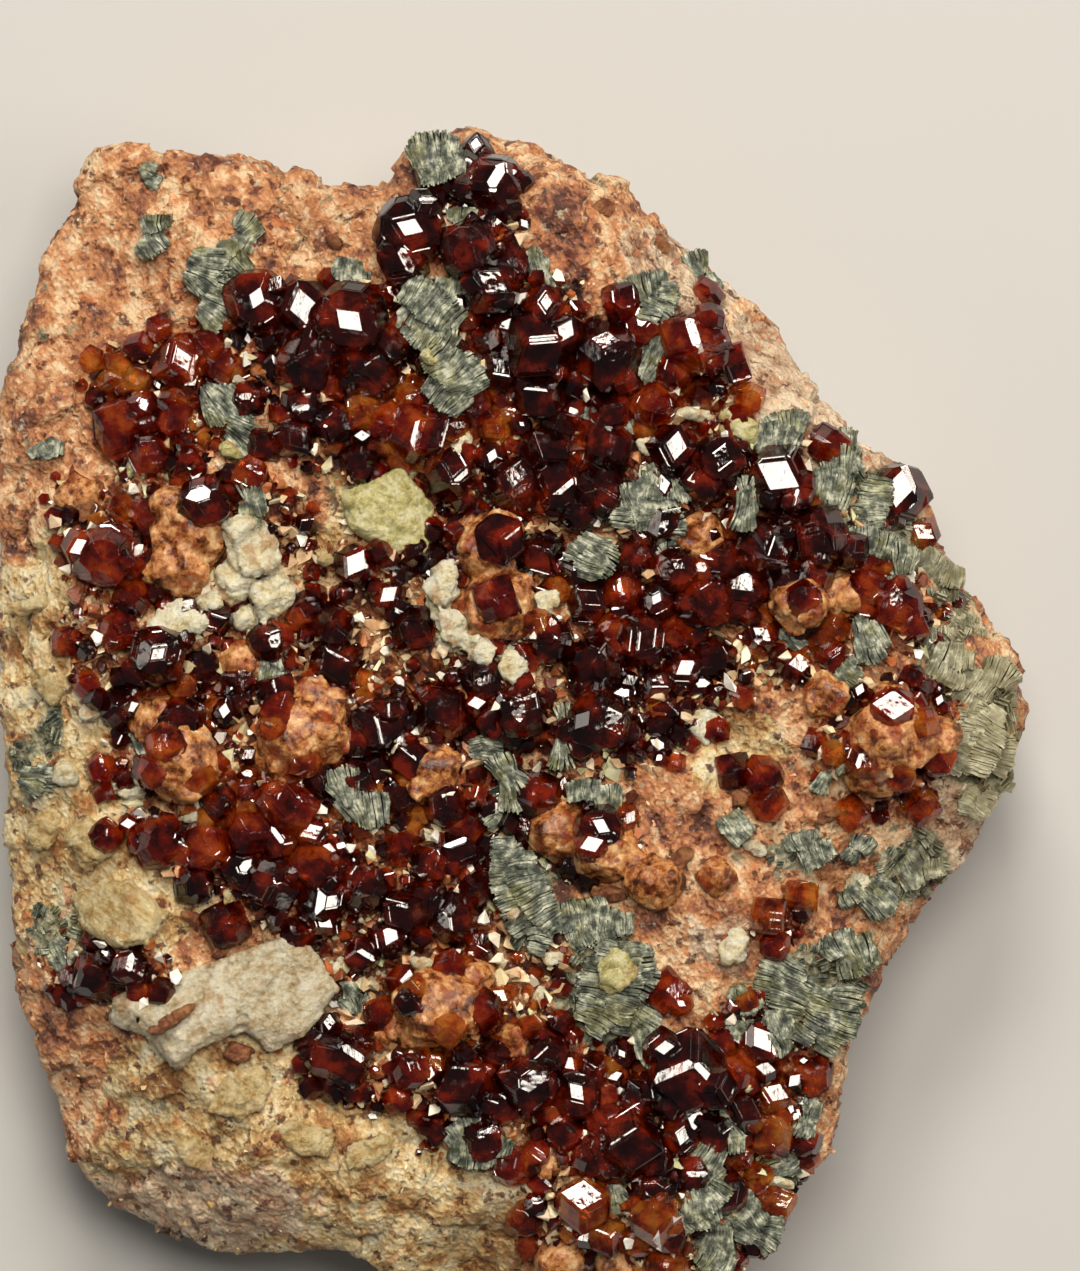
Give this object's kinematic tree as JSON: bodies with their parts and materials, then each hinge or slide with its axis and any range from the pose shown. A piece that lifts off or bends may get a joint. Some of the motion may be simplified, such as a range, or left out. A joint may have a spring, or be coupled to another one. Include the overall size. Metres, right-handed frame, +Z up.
{
  "type": "garnet in matrix",
  "caption": "Hand specimen of dark red garnet crystals with grey-green chlorite and pale diopside on a slab of massive orange garnet rock, lying on its flat back.",
  "frame": {"origin": "on the resting face, under the middle of the specimen's box", "axes": "+Z up, out of the crystal face; +Y along the specimen's length towards the garnet crown; +X to its pointed right side"},
  "size_m": [0.0868, 0.1, 0.0313],
  "materials": {
    "massive_garnet_rock": "rough granular",
    "garnet_crystal": "glassy",
    "etched_garnet": "etched matt",
    "chlorite": "pearly, lamellar",
    "diopside": "dull, slightly waxy"
  },
  "bodies": {
    "root": {"chlorite_block_centre": "chlorite", "chlorite_bun_centre": "chlorite", "chlorite_column_north": "chlorite", "chlorite_crest": "chlorite", "chlorite_fan_lower": "chlorite", "chlorite_fan_upper": "chlorite", "chlorite_mass_south": "chlorite", "chlorite_ribbon_west": "chlorite", "chlorite_rim_east": "chlorite", "chlorite_wave_south": "chlorite", "diopside_band": "diopside", "diopside_blade": "diopside", "diopside_bundle": "diopside", "diopside_lump": "diopside", "garnet_amber_bottomeast": "garnet_crystal", "garnet_amber_east": "garnet_crystal", "garnet_black_bottom": "garnet_crystal", "garnet_bottom_cluster": "garnet_crystal", "garnet_brown_bottom": "etched_garnet", "garnet_brown_heart": "etched_garnet", "garnet_brown_south": "etched_garnet", "garnet_brown_southwest": "etched_garnet", "garnet_brown_west": "etched_garnet", "garnet_capped_west": "garnet_crystal", "garnet_centre": "garnet_crystal", "garnet_crown": "garnet_crystal", "garnet_dark_bottomwest": "garnet_crystal", "garnet_dark_east": "garnet_crystal", "garnet_dark_south": "garnet_crystal", "garnet_dark_southwest": "garnet_crystal", "garnet_dull_centre": "etched_garnet", "garnet_ember_west": "garnet_crystal", "garnet_etched_east": "etched_garnet", "garnet_flash_bottom": "garnet_crystal", "garnet_flash_centre": "garnet_crystal", "garnet_flash_east": "garnet_crystal", "garnet_flash_heart": "garnet_crystal", "garnet_flash_west": "garnet_crystal", "garnet_giant_bottom": "garnet_crystal", "garnet_kite": "garnet_crystal", "garnet_northeast": "garnet_crystal", "garnet_orange_bottom": "garnet_crystal", "garnet_red_east": "garnet_crystal", "garnet_red_south": "garnet_crystal", "garnet_red_west": "garnet_crystal", "garnet_rim_bottomeast": "garnet_crystal", "garnet_rim_dark": "garnet_crystal", "garnet_rough_east": "etched_garnet", "garnet_row_centre": "garnet_crystal", "garnet_shoulder": "garnet_crystal", "garnet_south_seam": "garnet_crystal", "garnet_star_cluster": "garnet_crystal", "garnet_tablet_west": "etched_garnet", "garnet_twin_east": "garnet_crystal", "garnet_west_cluster": "garnet_crystal", "matrix_rock": "massive_garnet_rock"}
  },
  "joints": []
}
